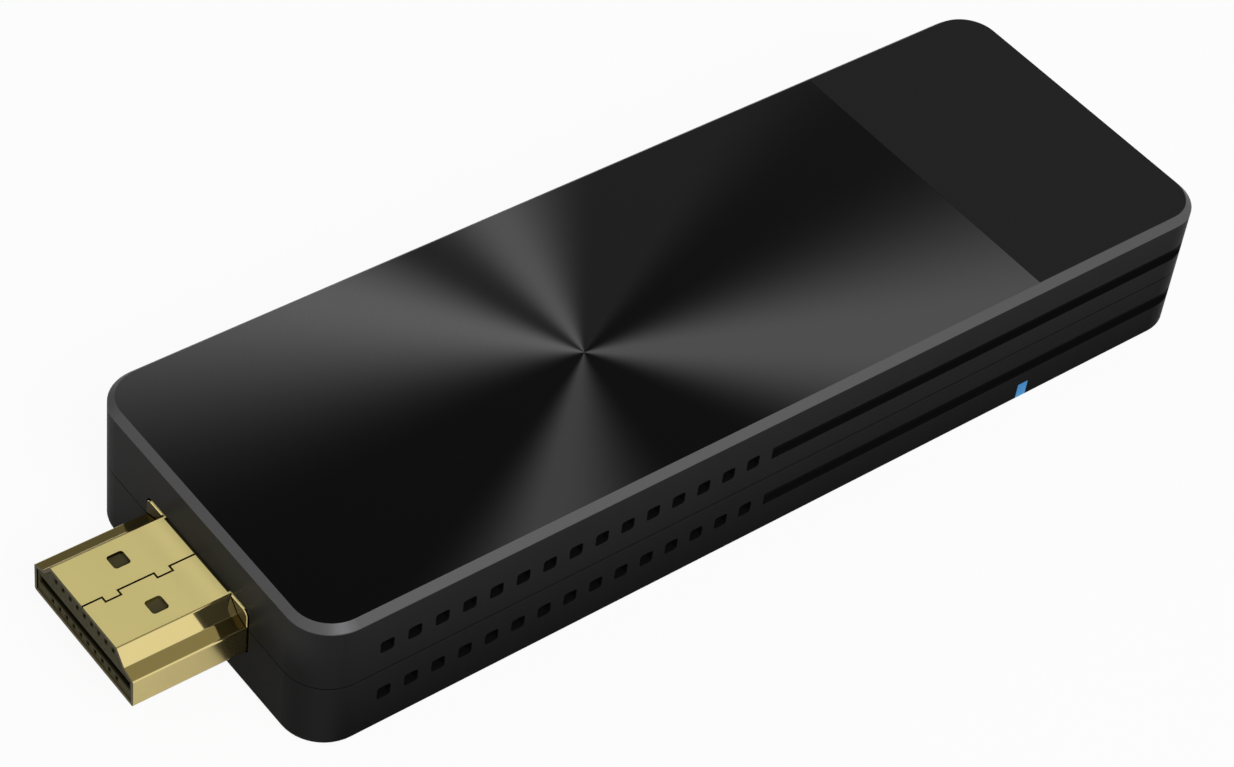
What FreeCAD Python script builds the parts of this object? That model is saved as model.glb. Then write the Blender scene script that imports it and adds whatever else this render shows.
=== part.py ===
import FreeCAD, Part
import math
import os

# Wireless display dongle, in millimetres.
# +X runs from the display plug to the power inlet, +Y across the casing, +Z up.
# The origin is the bottom centre of the whole object, plug included.
# A size called "from_front" is measured from the front wall, which the plug comes out of.
# A size called "from_end" is measured from the far end wall.

# Casing
case_length = 91.3
case_width = 31.1
case_height = 13.1
corner_radius = 3.8
foot_radius = 0.4
parting_height = 6.36
parting_gap = 0.08
parting_gap_depth = 0.2
wall = 1.6
floor_thickness = 1.3
ceiling_thickness = 1.2
lip_height = 0.8
lip_thickness = 0.75
fit_gap = 0.05

# Top plate and label film
plate_bevel = 0.58
plate_land = 0.1
plate_step_depth = 0.4
plate_step_inset = 2.0
label_length = 19.35
label_thickness = 0.12

# Vent holes and grooves in the long sides
vent_size = 1.25
vent_corner = 0.25
vent_pitch = 2.5
vent_count = 15
vent_from_front = 6.52
vent_upper_height = 9.03
vent_lower_height = 3.76
groove_height = 1.24
groove_depth = 0.55
groove_lead = 1.31

# Display plug: one folded sheet round a moulded insulator
plug_reach = 9.96
plug_width = 13.9
plug_height = 4.45
plug_bottom = 3.86
plug_side_height = 2.78
plug_shoulder_width = 11.4
plug_shoulder_height = 3.22
plug_top_width = 9.32
plug_fold_radius = 0.25
plug_valley_radius = 0.2
plug_sheet = 0.3
plug_root_length = 7.0
plug_root_corner = 0.6
collar_proud = 0.12
collar_chamfer = 0.05
collar_gap = 0.1
plug_opening_gap = 0.15
plug_inner_gap = 0.04
plug_strap_length = 4.5
plug_strap_height = 1.0
seam_width = 0.17
slit_behind_wall = 0.12
seam_offset = 0.11
seam_jog_depth = 0.52
seam_jog_length = 1.35
seam_jogs_from_front = (7.59, 3.09)
latch_size = 1.45
latch_corner = 0.28
latch_spacing = 5.3
latch_from_front = 5.26

# Plug insulator and contacts
mouth_recess = 0.1
slot_side_wall = 0.26
slot_height = 0.9
slot_above_bottom = 1.24
slot_depth = 7.4
channel_width = 0.4
channel_height = 0.5
channel_below_top = 1.01
channel_above_bottom = 0.84
contact_pitch = 1.0
contact_width = 0.3
contact_thickness = 0.2
contact_narrow_count = 9
contact_wide_count = 10
contact_setback = 0.8
contact_nose_depth = 0.12
contact_nose_length = 1.6
contact_nose_setback = 3.2
contact_tail_length = 1.7
insulator_block_length = 1.5
insulator_block_inset = 0.5

# Main board, its screws and what carries it
board_thickness = 1.0
board_front_gap = 0.1
board_button_gap = 0.3
board_hook_gap = 0.3
board_corner = 1.0
board_hole_gap = 0.2
screw_radius = 0.7
screw_length = 3.5
screw_hole_gap = 0.04
screw_tip_room = 0.25
screw_head_radius = 1.5
screw_head_height = 0.8
screw_recess_width = 0.35
screw_recess_length = 1.8
screw_recess_depth = 0.55
boss_radius = 1.9
boss_from_board_side = 2.5
boss_from_front = 13.2
boss_from_end = 11.8
cradle_thickness = 1.2
plug_cradle_width = 10.0
inlet_cradle_width = 6.0

# Snap hooks that hold the halves together
hook_length = 4.0
hook_thickness = 1.0
hook_gap = 0.12
hook_bite = 0.25
hook_drop = 1.94
hook_catch_drop = 0.94
hook_root_height = 1.6
hook_after_vents = 7.9
hook_from_end = 7.3

# Processor, memory, shield and heat path
chip_height = 1.2
chip_size = 14.0
chip_from_shield = 2.0
chip_pad_thickness = 0.6
memory_length = 7.5
memory_width = 8.5
memory_height = 1.0
memory_gap = 1.2
flash_length = 11.5
flash_width = 13.0
flash_height = 1.0
shield_from_front = 16.5
shield_sheet = 0.3
shield_side_room = 0.6
shield_end_room = 2.0
lid_sheet = 0.2
lid_skirt = 0.9
lid_gap = 0.03
lid_pad_length = 22.0
lid_pad_width = 15.0
spreader_length = 38.0
spreader_width = 22.0
spreader_thickness = 1.0
stake_radius = 0.8
stake_inset = 2.0
stake_proud = 0.3

# Wireless module, antennas and coax leads
module_size = 12.0
module_thickness = 0.6
module_can_inset = 0.6
module_can_height = 1.5
module_can_sheet = 0.2
module_chip_size = 5.0
module_chip_height = 0.9
socket_from_module = 0.9
socket_spacing = 6.0
socket_base = 2.6
socket_base_height = 0.35
socket_ring_radius = 1.0
socket_ring_height = 0.75
coax_plug_radius = 1.5
coax_plug_height = 1.6
coax_plug_lift = 0.4
coax_radius = 0.565
coax_jog = 6.0
coax_bend_share = 0.45
antenna_length = 18.0
antenna_thickness = 0.5
antenna_top_gap = 0.4
antenna_lip_gap = 0.15

# Power inlet socket
inlet_width = 8.94
inlet_height = 3.26
inlet_side_flat = 0.02
inlet_sheet = 0.25
inlet_length = 7.35
inlet_recess = 0.3
inlet_opening_gap = 0.15
inlet_block_length = 2.2
inlet_rear_length = 0.95
inlet_tongue_width = 6.7
inlet_tongue_thickness = 0.7
inlet_tongue_setback = 0.9
inlet_notch_gap = 0.13
inlet_tab_length = 1.0
inlet_tab_reach = 1.1
inlet_tab_setbacks = (3.7, 5.9)
inlet_contact_count = 12
inlet_contact_pitch = 0.5
inlet_contact_width = 0.25
inlet_contact_thickness = 0.15
inlet_contact_setback = 0.5
inlet_tail_length = 1.2

# Reset button and its switch
button_from_side = 6.05
button_width = 3.0
button_height = 1.5
button_corner = 0.7
button_recess = 0.1
button_hole_gap = 0.12
button_flange_overhang = 0.45
button_flange_thickness = 0.6
button_flange_gap = 0.1
button_travel = 0.3
switch_width = 4.6
switch_length = 2.8
switch_height = 1.65
switch_gap = 0.8
plunger_width = 1.4
plunger_height = 0.7
plunger_insertion = 0.8
plunger_gap = 0.05

# Status light
light_from_end = 19.0
light_width = 1.08
light_height = 1.8
light_gap = 0.03
light_foot_height = 1.0
light_column_depth = 1.0
led_length = 1.6
led_width = 0.8
led_height = 0.6
led_from_board_side = 0.75
led_air_gap = 0.1

# Small parts on the board
inductor_size = 3.0
inductor_height = 1.2
inductor_count = 3
inductor_pitch = 3.8
inductor_gap = 1.5
regulator_size = 3.0
regulator_height = 0.9
regulator_pitch = 6.0
crystal_length = 3.2
crystal_width = 2.5
crystal_height = 0.7
crystal_gap = 1.0
small_part_length = 1.0
small_part_width = 0.5
capacitor_height = 0.5
capacitor_count = 12
capacitor_pitch = 2.0
resistor_height = 0.35
resistor_count = 8
resistor_pitch = 1.0
resistor_gap = 0.6

# How far a cutter runs past the faces that it opens
overcut = 1.0

# Casing planes
total_length = case_length + plug_reach
mouth_x = -total_length / 2
front_x = mouth_x + plug_reach
far_x = total_length / 2
half_width = case_width / 2
inner_half = half_width - wall
inner_far_x = far_x - wall
shell_top = case_height - plate_bevel - plate_land
ceiling_z = shell_top - ceiling_thickness
lip_top = parting_height + lip_height
last_vent_end = front_x + vent_from_front + (vent_count - 1) * vent_pitch + vent_size / 2

# Plug planes
plug_top = plug_bottom + plug_height
plug_face_x = mouth_x + mouth_recess
collar_end_x = front_x + plug_sheet
root_end_x = front_x + plug_root_length
slot_z0 = plug_bottom + slot_above_bottom
slot_z1 = slot_z0 + slot_height
slot_half = plug_width / 2 - plug_sheet - plug_inner_gap - slot_side_wall
narrow_row_z = plug_top - channel_below_top
wide_row_z = plug_bottom + channel_above_bottom

# Inlet planes: the inlet and the plug share the board's middle plane
mid_z = plug_bottom + plug_height / 2
inlet_mouth_x = far_x - inlet_recess
inlet_back_x = inlet_mouth_x - inlet_length
inlet_top = mid_z + inlet_height / 2
inlet_bottom = mid_z - inlet_height / 2
inlet_notch_x = inlet_back_x - inlet_rear_length - inlet_notch_gap

# Button planes
flange_x1 = inner_far_x - button_flange_gap
flange_x0 = flange_x1 - button_flange_thickness
switch_x1 = flange_x0 - switch_gap
button_y = half_width - button_from_side

# Board planes
board_top = mid_z + board_thickness / 2
board_bottom = mid_z - board_thickness / 2
board_x0 = root_end_x + insulator_block_length + board_front_gap
board_x1 = flange_x0 - button_travel - board_button_gap
hook_outer = inner_half - hook_gap
hook_inner = hook_outer - hook_thickness
board_half = hook_inner - board_hook_gap
button_z = board_top + switch_height / 2
boss_y = board_half - boss_from_board_side
screw_places = [
    (x, y) for x in (front_x + boss_from_front, far_x - boss_from_end) for y in (-boss_y, boss_y)
]
hook_xs = (last_vent_end + hook_after_vents, far_x - hook_from_end)

# Shield planes
shield_x0 = front_x + shield_from_front
chip_x = shield_x0 + shield_sheet + chip_from_shield + chip_size / 2
memory_x = chip_x + chip_size / 2 + memory_gap + memory_length / 2
shield_x1 = memory_x + memory_length / 2 + shield_end_room + shield_sheet
shield_x = (shield_x0 + shield_x1) / 2
shield_half = memory_gap / 2 + memory_width + shield_side_room + shield_sheet
shield_top = board_top + chip_height + chip_pad_thickness
lid_reach = lid_gap + lid_sheet
spreader_z = ceiling_z - spreader_thickness
stake_places = [
    (shield_x + sx * (spreader_length / 2 - stake_inset), sy * (spreader_width / 2 - stake_inset))
    for sx in (-1, 1)
    for sy in (-1, 1)
]

# Places along the board behind the shield: the module sits midway in what room is left
crystal_x = shield_x1 + lid_reach + crystal_gap + crystal_length / 2
inductor_x = inlet_notch_x - inlet_tail_length - inductor_gap - inductor_size / 2
module_room_x0 = crystal_x + crystal_length / 2
module_room_x1 = inductor_x - inductor_size / 2 - coax_plug_radius - socket_base / 2 - socket_from_module
module_x = (module_room_x0 + module_room_x1) / 2
socket_x = module_x + module_size / 2 + socket_from_module + socket_base / 2
coax_z = board_top + coax_plug_lift + coax_plug_height - coax_radius
antenna_x = (hook_xs[0] + hook_xs[1]) / 2
antenna_face = inner_half - antenna_thickness

# Status light planes
light_x = far_x - light_from_end
led_y = -(board_half - led_from_board_side)
led_z = board_bottom - led_height


def vector(x, y, z):
    return FreeCAD.Vector(x, y, z)


def box(x0, x1, y0, y1, z0, z1):
    return Part.makeBox(x1 - x0, y1 - y0, z1 - z0, vector(x0, y0, z0))


def block(x, y, length, width, z0, z1):
    """Upright box centred on (x, y)."""
    return box(x - length / 2, x + length / 2, y - width / 2, y + width / 2, z0, z1)


def post(x, y, radius, z0, z1):
    """Upright cylinder centred on (x, y)."""
    return Part.makeCylinder(radius, z1 - z0, vector(x, y, z0))


def union(shapes):
    return shapes[0].fuse(shapes[1:]).removeSplitter()


def both_sides(shape):
    """The shape and its mirror image across the casing."""
    return [shape, shape.mirror(vector(0, 0, 0), vector(0, 1, 0))]


def spread(count, pitch):
    """Places of a row of copies, centred on zero."""
    return [(i - (count - 1) / 2) * pitch for i in range(count)]


def rounded_wire(corners, place):
    """Closed wire through (u, v, radius) corners. place turns (u, v) into a point in space."""
    count = len(corners)
    points = [vector(u, v, 0) for u, v, radius in corners]
    bends = []
    for i, (u, v, radius) in enumerate(corners):
        here = points[i]
        back = (points[i - 1] - here).normalize()
        ahead = (points[(i + 1) % count] - here).normalize()
        if radius <= 0:
            bends.append((here, None, here))
            continue
        half_angle = back.getAngle(ahead) / 2
        run = radius / math.tan(half_angle)
        inward = (back + ahead).normalize()
        centre = here + inward * (radius / math.sin(half_angle))
        bends.append((here + back * run, centre - inward * radius, here + ahead * run))
    edges = []
    for i, (start, middle, end) in enumerate(bends):
        if middle is not None:
            edges.append(Part.Arc(place(start), place(middle), place(end)).toShape())
        following = bends[(i + 1) % count][0]
        if (following - end).Length > 1e-6:
            edges.append(Part.LineSegment(place(end), place(following)).toShape())
    return Part.Wire(edges)


def prism(corners, z0, z1):
    """Upright prism with its corners given as (x, y, radius)."""
    face = Part.Face(rounded_wire(corners, lambda p: vector(p.x, p.y, z0)))
    return face.extrude(vector(0, 0, z1 - z0))


def bar(corners, x0, x1):
    """Prism along X with its corners given as (y, z, radius)."""
    face = Part.Face(rounded_wire(corners, lambda p: vector(x0, p.x, p.y)))
    return face.extrude(vector(x1 - x0, 0, 0))


def cross_bar(corners, y0, y1):
    """Prism along Y with its corners given as (x, z, radius)."""
    face = Part.Face(rounded_wire(corners, lambda p: vector(p.x, y0, p.y)))
    return face.extrude(vector(0, y1 - y0, 0))


def rectangle(u0, u1, v0, v1, radius):
    return [(u0, v0, radius), (u1, v0, radius), (u1, v1, radius), (u0, v1, radius)]


def inset(corners, distance):
    """The same anticlockwise outline moved inwards by distance, its radii following."""
    count = len(corners)
    moved = []
    for i, (u, v, radius) in enumerate(corners):
        before = corners[i - 1]
        after = corners[(i + 1) % count]
        along_in = vector(u - before[0], v - before[1], 0).normalize()
        along_out = vector(after[0] - u, after[1] - v, 0).normalize()
        normal_in = vector(-along_in.y, along_in.x, 0)
        normal_out = vector(-along_out.y, along_out.x, 0)
        shift = (normal_in + normal_out) * (distance / (1 + normal_in.dot(normal_out)))
        convex = along_in.cross(along_out).z > 0
        new_radius = max(radius - distance, 0) if convex else radius + distance
        moved.append((u + shift.x, v + shift.y, new_radius))
    return moved


def case_plan(distance):
    """Plan outline of the casing, moved inwards by distance."""
    return inset(rectangle(front_x, far_x, -half_width, half_width, corner_radius), distance)


def label_plan(distance):
    """Label area between the bevels, with rounded corners at the far end only."""
    edge = plate_bevel + fit_gap
    x0 = far_x - label_length
    x1 = far_x - edge
    half = half_width - edge
    radius = corner_radius - edge
    return inset([(x0, -half, 0), (x1, -half, radius), (x1, half, radius), (x0, half, 0)], distance)


def plug_profile(distance):
    """Cross-section of the plug in front of the wall: upright sides, a low slope, then a steep bevel."""
    side = plug_width / 2
    shoulder = plug_shoulder_width / 2
    top = plug_top_width / 2
    side_z = plug_bottom + plug_side_height
    shoulder_z = plug_bottom + plug_shoulder_height
    fold = plug_fold_radius
    outline = [
        (-side, plug_bottom, fold),
        (side, plug_bottom, fold),
        (side, side_z, fold),
        (shoulder, shoulder_z, plug_valley_radius),
        (top, plug_top, fold),
        (-top, plug_top, fold),
        (-shoulder, shoulder_z, plug_valley_radius),
        (-side, side_z, fold),
    ]
    return inset(outline, distance)


def root_profile(distance):
    """Cross-section of the plug's square root behind the front wall."""
    side = plug_width / 2
    outline = [
        (-side, plug_bottom, plug_fold_radius),
        (side, plug_bottom, plug_fold_radius),
        (side, plug_top, plug_root_corner),
        (-side, plug_top, plug_root_corner),
    ]
    return inset(outline, distance)


def inlet_profile(distance):
    half = inlet_width / 2
    radius = (inlet_height - inlet_side_flat) / 2
    return inset(rectangle(-half, half, inlet_bottom, inlet_top, radius), distance)


def button_profile(distance):
    half_w = button_width / 2
    half_h = button_height / 2
    y0, y1 = button_y - half_w, button_y + half_w
    return inset(rectangle(y0, y1, button_z - half_h, button_z + half_h, button_corner), distance)


def vent_row(height):
    """Square holes through both long walls, in one row at this height."""
    half = vent_size / 2
    cutters = []
    for i in range(vent_count):
        x = front_x + vent_from_front + i * vent_pitch
        outline = rectangle(x - half, x + half, height - half, height + half, vent_corner)
        cutters += both_sides(cross_bar(outline, -half_width - overcut, -inner_half + overcut))
    return cutters


def groove_pair(height):
    """Long blind grooves in both long walls, which run out round the far corners."""
    x0 = last_vent_end + groove_lead
    z0 = height - groove_height / 2
    z1 = height + groove_height / 2
    groove = box(x0, far_x + overcut, -half_width - overcut, -half_width + groove_depth, z0, z1)
    return both_sides(groove)


def end_openings():
    """Cutters for the plug, the power inlet and the button, which both halves share."""
    plug = bar(root_profile(-plug_opening_gap), front_x - overcut, front_x + wall + overcut)
    inlet = bar(inlet_profile(-inlet_opening_gap), inner_far_x - overcut, far_x + overcut)
    button = bar(button_profile(-button_hole_gap), inner_far_x - overcut, far_x + overcut)
    return [plug, inlet, button]


def cradle_ribs(plug_z0, plug_z1, inlet_z0, inlet_z1):
    """Ribs that hold the plug root and the inlet from below or from above."""
    plug_x = front_x + plug_root_length / 2
    inlet_x = inlet_back_x + inlet_length / 2
    return [
        block(plug_x, 0, cradle_thickness, plug_cradle_width, plug_z0, plug_z1),
        block(inlet_x, 0, cradle_thickness, inlet_cradle_width, inlet_z0, inlet_z1),
    ]


def hooks():
    """Snap hooks of the upper half: root, tab, catch and lead-in ramp."""
    root_y = inner_half + lip_thickness
    root_z0 = lip_top + hook_gap
    root_z1 = root_z0 + hook_root_height
    tip_z = parting_height - hook_drop
    catch_z = parting_height - hook_catch_drop
    bite_y = inner_half + hook_bite
    outline = [
        (hook_inner, root_z1, 0),
        (hook_inner, tip_z, 0),
        (hook_outer - hook_bite, tip_z, 0),
        (bite_y, (tip_z + 2 * catch_z) / 3, 0),
        (bite_y, catch_z, 0),
        (hook_outer, catch_z, 0),
        (hook_outer, root_z0, 0),
        (root_y, root_z0, 0),
        (root_y, root_z1, 0),
    ]
    made = []
    for x in hook_xs:
        made += both_sides(bar(outline, x - hook_length / 2, x + hook_length / 2))
    return made


def hook_pockets():
    half = hook_length / 2 + hook_gap
    z0 = parting_height - hook_drop
    z1 = parting_height - hook_catch_drop + hook_gap
    cutters = []
    for x in hook_xs:
        pocket = box(x - half, x + half, hook_outer, inner_half + hook_bite + hook_gap, z0, z1)
        cutters += both_sides(pocket)
    return cutters


def stakes():
    """Pegs under the ceiling that the heat spreader is fixed on."""
    return [post(x, y, stake_radius, spreader_z - stake_proud, ceiling_z) for x, y in stake_places]


def parting_line():
    """Ring that leaves a narrow gap all round between the halves."""
    z1 = parting_height + parting_gap
    outside = prism(case_plan(-overcut), parting_height - overcut, z1)
    return outside.cut(prism(case_plan(parting_gap_depth), parting_height - overcut, z1))


def upper_shell():
    body = prism(case_plan(0), parting_height, shell_top)
    cavity = prism(case_plan(wall), parting_height - overcut, ceiling_z)
    lip_inset = wall - lip_thickness - fit_gap
    lip_room = prism(case_plan(lip_inset), parting_height - overcut, lip_top + fit_gap)
    step_floor = shell_top - plate_step_depth - fit_gap
    step_room = prism(case_plan(plate_step_inset - fit_gap), step_floor, shell_top + overcut)
    cutters = [cavity, lip_room, step_room, parting_line()]
    cutters += vent_row(vent_upper_height) + groove_pair(vent_upper_height)
    added = hooks() + stakes() + cradle_ribs(plug_top, ceiling_z, inlet_top, ceiling_z)
    return union([body.cut(cutters)] + added).cut(end_openings())


def lower_outside():
    """Outer form of the lower half, with its bottom edge rounded."""
    body = prism(case_plan(0), 0, parting_height)
    edges = [edge for edge in body.Edges if edge.BoundBox.ZMax < foot_radius]
    return body.makeFillet(foot_radius, edges)


def bosses():
    """Posts of the lower half that carry the board and take its screws."""
    made = []
    hole_z = board_bottom - screw_length - screw_tip_room
    for x, y in screw_places:
        hole = post(x, y, screw_radius + screw_hole_gap, hole_z, board_top)
        made.append(post(x, y, boss_radius, floor_thickness, board_bottom).cut(hole))
    return made


def light_notch():
    half = light_width / 2 + light_gap
    top = light_height + light_gap
    return box(light_x - half, light_x + half, -half_width - overcut, -inner_half, -overcut, top)


def lower_shell():
    lip = prism(case_plan(wall - lip_thickness), parting_height - lip_height, lip_top)
    cavity = prism(case_plan(wall), floor_thickness, lip_top + overcut)
    cutters = [cavity, light_notch()] + hook_pockets()
    cutters += vent_row(vent_lower_height) + groove_pair(vent_lower_height)
    body = union([lower_outside(), lip]).cut(cutters)
    added = bosses() + cradle_ribs(floor_thickness, plug_bottom, floor_thickness, inlet_bottom)
    return union([body] + added).cut(end_openings())


def top_plate():
    """Plate over the whole top, with a bevelled rim and a locating step underneath."""
    body = prism(case_plan(0), shell_top, case_height)
    rim = [edge for edge in body.Edges if edge.BoundBox.ZMin > case_height - plate_bevel / 2]
    body = body.makeChamfer(plate_bevel, rim)
    step = prism(case_plan(plate_step_inset), shell_top - plate_step_depth, shell_top + plate_land)
    recess = prism(label_plan(0), case_height - label_thickness, case_height + overcut)
    return union([body, step]).cut(recess)


def label_film():
    return prism(label_plan(fit_gap / 2), case_height - label_thickness, case_height)


def light_pipe():
    """Clear elbow from the window at the bottom edge up to the light on the board."""
    x0, x1 = light_x - light_width / 2, light_x + light_width / 2
    window = box(x0, x1, -half_width - overcut, -inner_half, -overcut, light_height)
    column_y0 = led_y - light_column_depth / 2
    column_y1 = led_y + light_column_depth / 2
    foot = box(x0, x1, -inner_half, column_y1, floor_thickness, floor_thickness + light_foot_height)
    column = box(x0, x1, column_y0, column_y1, floor_thickness, led_z - led_air_gap)
    return union([window.common(lower_outside()), foot, column])


def seam_cutters():
    """The folded sheet's seam along the narrow face, with its jogs, out through the root."""
    half = seam_width / 2
    z0 = plug_top - plug_sheet - plug_inner_gap / 2
    z1 = plug_top + overcut
    y_line = seam_offset
    y_jog = seam_offset - seam_jog_depth
    stops = [mouth_x - overcut]
    for distance in seam_jogs_from_front:
        centre = front_x - distance
        stops += [centre - seam_jog_length / 2, centre + seam_jog_length / 2]
    stops.append(root_end_x + overcut)
    cutters = []
    for i in range(len(stops) - 1):
        y = y_jog if i % 2 else y_line
        cutters.append(box(stops[i] - half, stops[i + 1] + half, y - half, y + half, z0, z1))
    for x in stops[1:-1]:
        cutters.append(box(x - half, x + half, y_jog - half, y_line + half, z0, z1))
    return cutters


def root_slit():
    """Gap across the narrow face, where its two flaps end at the wall."""
    half = plug_top_width / 2 - plug_fold_radius
    z0 = plug_top - plug_sheet - plug_inner_gap / 2
    return box(front_x - seam_width, front_x + slit_behind_wall, -half, half, z0, plug_top + overcut)


def latch_windows():
    """Two windows in the narrow face and two in the wide face."""
    half = latch_size / 2
    x = front_x - latch_from_front
    reach = plug_sheet + plug_inner_gap / 2
    cutters = []
    for y in (-latch_spacing / 2, latch_spacing / 2):
        outline = rectangle(x - half, x + half, y - half, y + half, latch_corner)
        cutters.append(prism(outline, plug_top - reach, plug_top + overcut))
        cutters.append(prism(outline, plug_bottom - overcut, plug_bottom + reach))
    return cutters


def plug_collar():
    """Plate that closes the square root off beside the bevels, with a fine gap between them."""
    collar_x = front_x - collar_proud
    collar = bar(root_profile(0), collar_x, collar_end_x)
    rim = [edge for edge in collar.Edges if edge.BoundBox.XMax < front_x - collar_proud / 2]
    collar = collar.makeChamfer(collar_chamfer, rim)
    return collar.cut(bar(plug_profile(-collar_gap), collar_x - overcut, front_x))


def plug_shell():
    """Folded sheet: bevelled in front of the wall, square behind it, with straps to the board."""
    side = plug_width / 2
    front = bar(plug_profile(0), mouth_x, front_x)
    root = bar(root_profile(0), front_x, root_end_x)
    front_room = bar(plug_profile(plug_sheet), mouth_x - overcut, collar_end_x)
    root_room = bar(root_profile(plug_sheet), collar_end_x, root_end_x + overcut)
    strap_x0 = root_end_x - plug_sheet
    strap_x1 = root_end_x + plug_strap_length
    strap_z1 = board_top + plug_strap_height
    strap = box(strap_x0, strap_x1, side - plug_sheet, side, board_top, strap_z1)
    body = union([front, root, plug_collar()]).cut([front_room, root_room])
    body = body.cut(seam_cutters() + [root_slit()] + latch_windows())
    return union([body] + both_sides(strap))


def contact_rows():
    """For each row: how many contacts, their height, the board face they meet, and its side."""
    return {
        "narrow": (contact_narrow_count, narrow_row_z, board_top, 1),
        "wide": (contact_wide_count, wide_row_z, board_bottom, -1),
    }


def plug_insulator():
    """Moulded body inside the plug, with the tongue slot and one channel for each contact."""
    gap = plug_sheet + plug_inner_gap
    step_x = collar_end_x + plug_inner_gap
    front = bar(plug_profile(gap), plug_face_x, step_x)
    root = bar(root_profile(gap), step_x, root_end_x)
    rear_half = plug_width / 2 - insulator_block_inset
    rear_z0 = plug_bottom + insulator_block_inset
    rear_z1 = plug_top - insulator_block_inset
    rear_x1 = root_end_x + insulator_block_length
    rear = box(root_end_x, rear_x1, -rear_half, rear_half, rear_z0, rear_z1)
    slot = box(plug_face_x - overcut, plug_face_x + slot_depth, -slot_half, slot_half, slot_z0, slot_z1)
    cutters = [slot]
    half = channel_width / 2
    nose_x0 = plug_face_x + contact_nose_setback - half
    nose_x1 = nose_x0 + contact_nose_length + channel_width
    for count, row_z, board_z, side in contact_rows().values():
        z0 = row_z - channel_height / 2
        z1 = row_z + channel_height / 2
        nose_z0, nose_z1 = sorted((row_z, (slot_z0 + slot_z1) / 2))
        for y in spread(count, contact_pitch):
            cutters.append(box(plug_face_x - overcut, rear_x1 + overcut, y - half, y + half, z0, z1))
            cutters.append(box(nose_x0, nose_x1, y - half, y + half, nose_z0, nose_z1))
    return union([front, root, rear]).cut(cutters)


def plug_contacts(row):
    """One row of contacts: arm in its channel, nose into the slot, tail on the board."""
    count, row_z, board_z, side = contact_rows()[row]
    nose_x0 = plug_face_x + contact_nose_setback
    nose_x1 = nose_x0 + contact_nose_length
    nose_tip = slot_z1 - contact_nose_depth if side > 0 else slot_z0 + contact_nose_depth
    step_x1 = board_x0 + contact_thickness
    arm_z0 = row_z - contact_thickness / 2
    arm_z1 = row_z + contact_thickness / 2
    nose_z0, nose_z1 = sorted((nose_tip, row_z))
    step_z0, step_z1 = sorted((board_z, row_z))
    tail_z0, tail_z1 = sorted((board_z, board_z + side * contact_thickness))
    made = []
    for y in spread(count, contact_pitch):
        y0, y1 = y - contact_width / 2, y + contact_width / 2
        arm = box(plug_face_x + contact_setback, step_x1, y0, y1, arm_z0, arm_z1)
        nose = box(nose_x0, nose_x1, y0, y1, nose_z0, nose_z1)
        step = box(board_x0, step_x1, y0, y1, step_z0, step_z1)
        tail = box(board_x0, board_x0 + contact_tail_length, y0, y1, tail_z0, tail_z1)
        made.append(union([arm, nose, step, tail]))
    return Part.makeCompound(made)


def inlet_shell():
    """Oval sheet sleeve of the power inlet, with four tabs that lie on the board."""
    sleeve = bar(inlet_profile(0), inlet_back_x, inlet_mouth_x)
    room = bar(inlet_profile(inlet_sheet), inlet_back_x - overcut, inlet_mouth_x + overcut)
    half = inlet_width / 2
    tabs = []
    for setback in inlet_tab_setbacks:
        x0 = inlet_mouth_x - setback - inlet_tab_length / 2
        x1 = x0 + inlet_tab_length
        tab = box(x0, x1, half - inlet_sheet / 2, half + inlet_tab_reach, board_top, board_top + inlet_sheet)
        tabs += both_sides(tab)
    return union([sleeve] + tabs).cut(room)


def inlet_contact_solids():
    """Blades on both faces of the tongue, with tails on both faces of the board."""
    made = []
    blade_x0 = inlet_notch_x + inlet_notch_gap / 2
    blade_x1 = inlet_mouth_x - inlet_tongue_setback - inlet_contact_setback
    step_x1 = blade_x0 + inlet_contact_width
    tail_x0 = inlet_notch_x - inlet_tail_length
    for side, board_z in ((1, board_top), (-1, board_bottom)):
        tongue_z = mid_z + side * inlet_tongue_thickness / 2
        tail_z = board_z + side * inlet_contact_thickness
        blade_z0, blade_z1 = sorted((tongue_z, tongue_z + side * inlet_contact_thickness))
        tail_z0, tail_z1 = sorted((board_z, tail_z))
        step_z0, step_z1 = sorted((tongue_z, tail_z))
        for y in spread(inlet_contact_count, inlet_contact_pitch):
            y0, y1 = y - inlet_contact_width / 2, y + inlet_contact_width / 2
            blade = box(blade_x0, blade_x1, y0, y1, blade_z0, blade_z1)
            step = box(blade_x0, step_x1, y0, y1, step_z0, step_z1)
            tail = box(tail_x0, step_x1, y0, y1, tail_z0, tail_z1)
            made.append(union([blade, step, tail]))
    return made


def inlet_insulator():
    """Moulded block at the back of the inlet, with the flat tongue."""
    gap = inlet_sheet + plug_inner_gap
    front = bar(inlet_profile(gap), inlet_back_x, inlet_back_x + inlet_block_length)
    half = inlet_tongue_width / 2
    half_t = inlet_tongue_thickness / 2
    tongue_x1 = inlet_mouth_x - inlet_tongue_setback
    tongue = box(inlet_back_x, tongue_x1, -half, half, mid_z - half_t, mid_z + half_t)
    rear_x0 = inlet_back_x - inlet_rear_length
    rear = box(rear_x0, inlet_back_x, -half, half, inlet_bottom + gap, inlet_top - gap)
    return union([front, tongue, rear]).cut(inlet_contact_solids())


def main_board():
    outline = rectangle(board_x0, board_x1, -board_half, board_half, board_corner)
    half = inlet_width / 2 + inlet_notch_gap
    z0, z1 = board_bottom - overcut, board_top + overcut
    cutters = [box(inlet_notch_x, board_x1 + overcut, -half, half, z0, z1)]
    cutters += [post(x, y, screw_radius + board_hole_gap, z0, z1) for x, y in screw_places]
    return prism(outline, board_bottom, board_top).cut(cutters)


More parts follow.
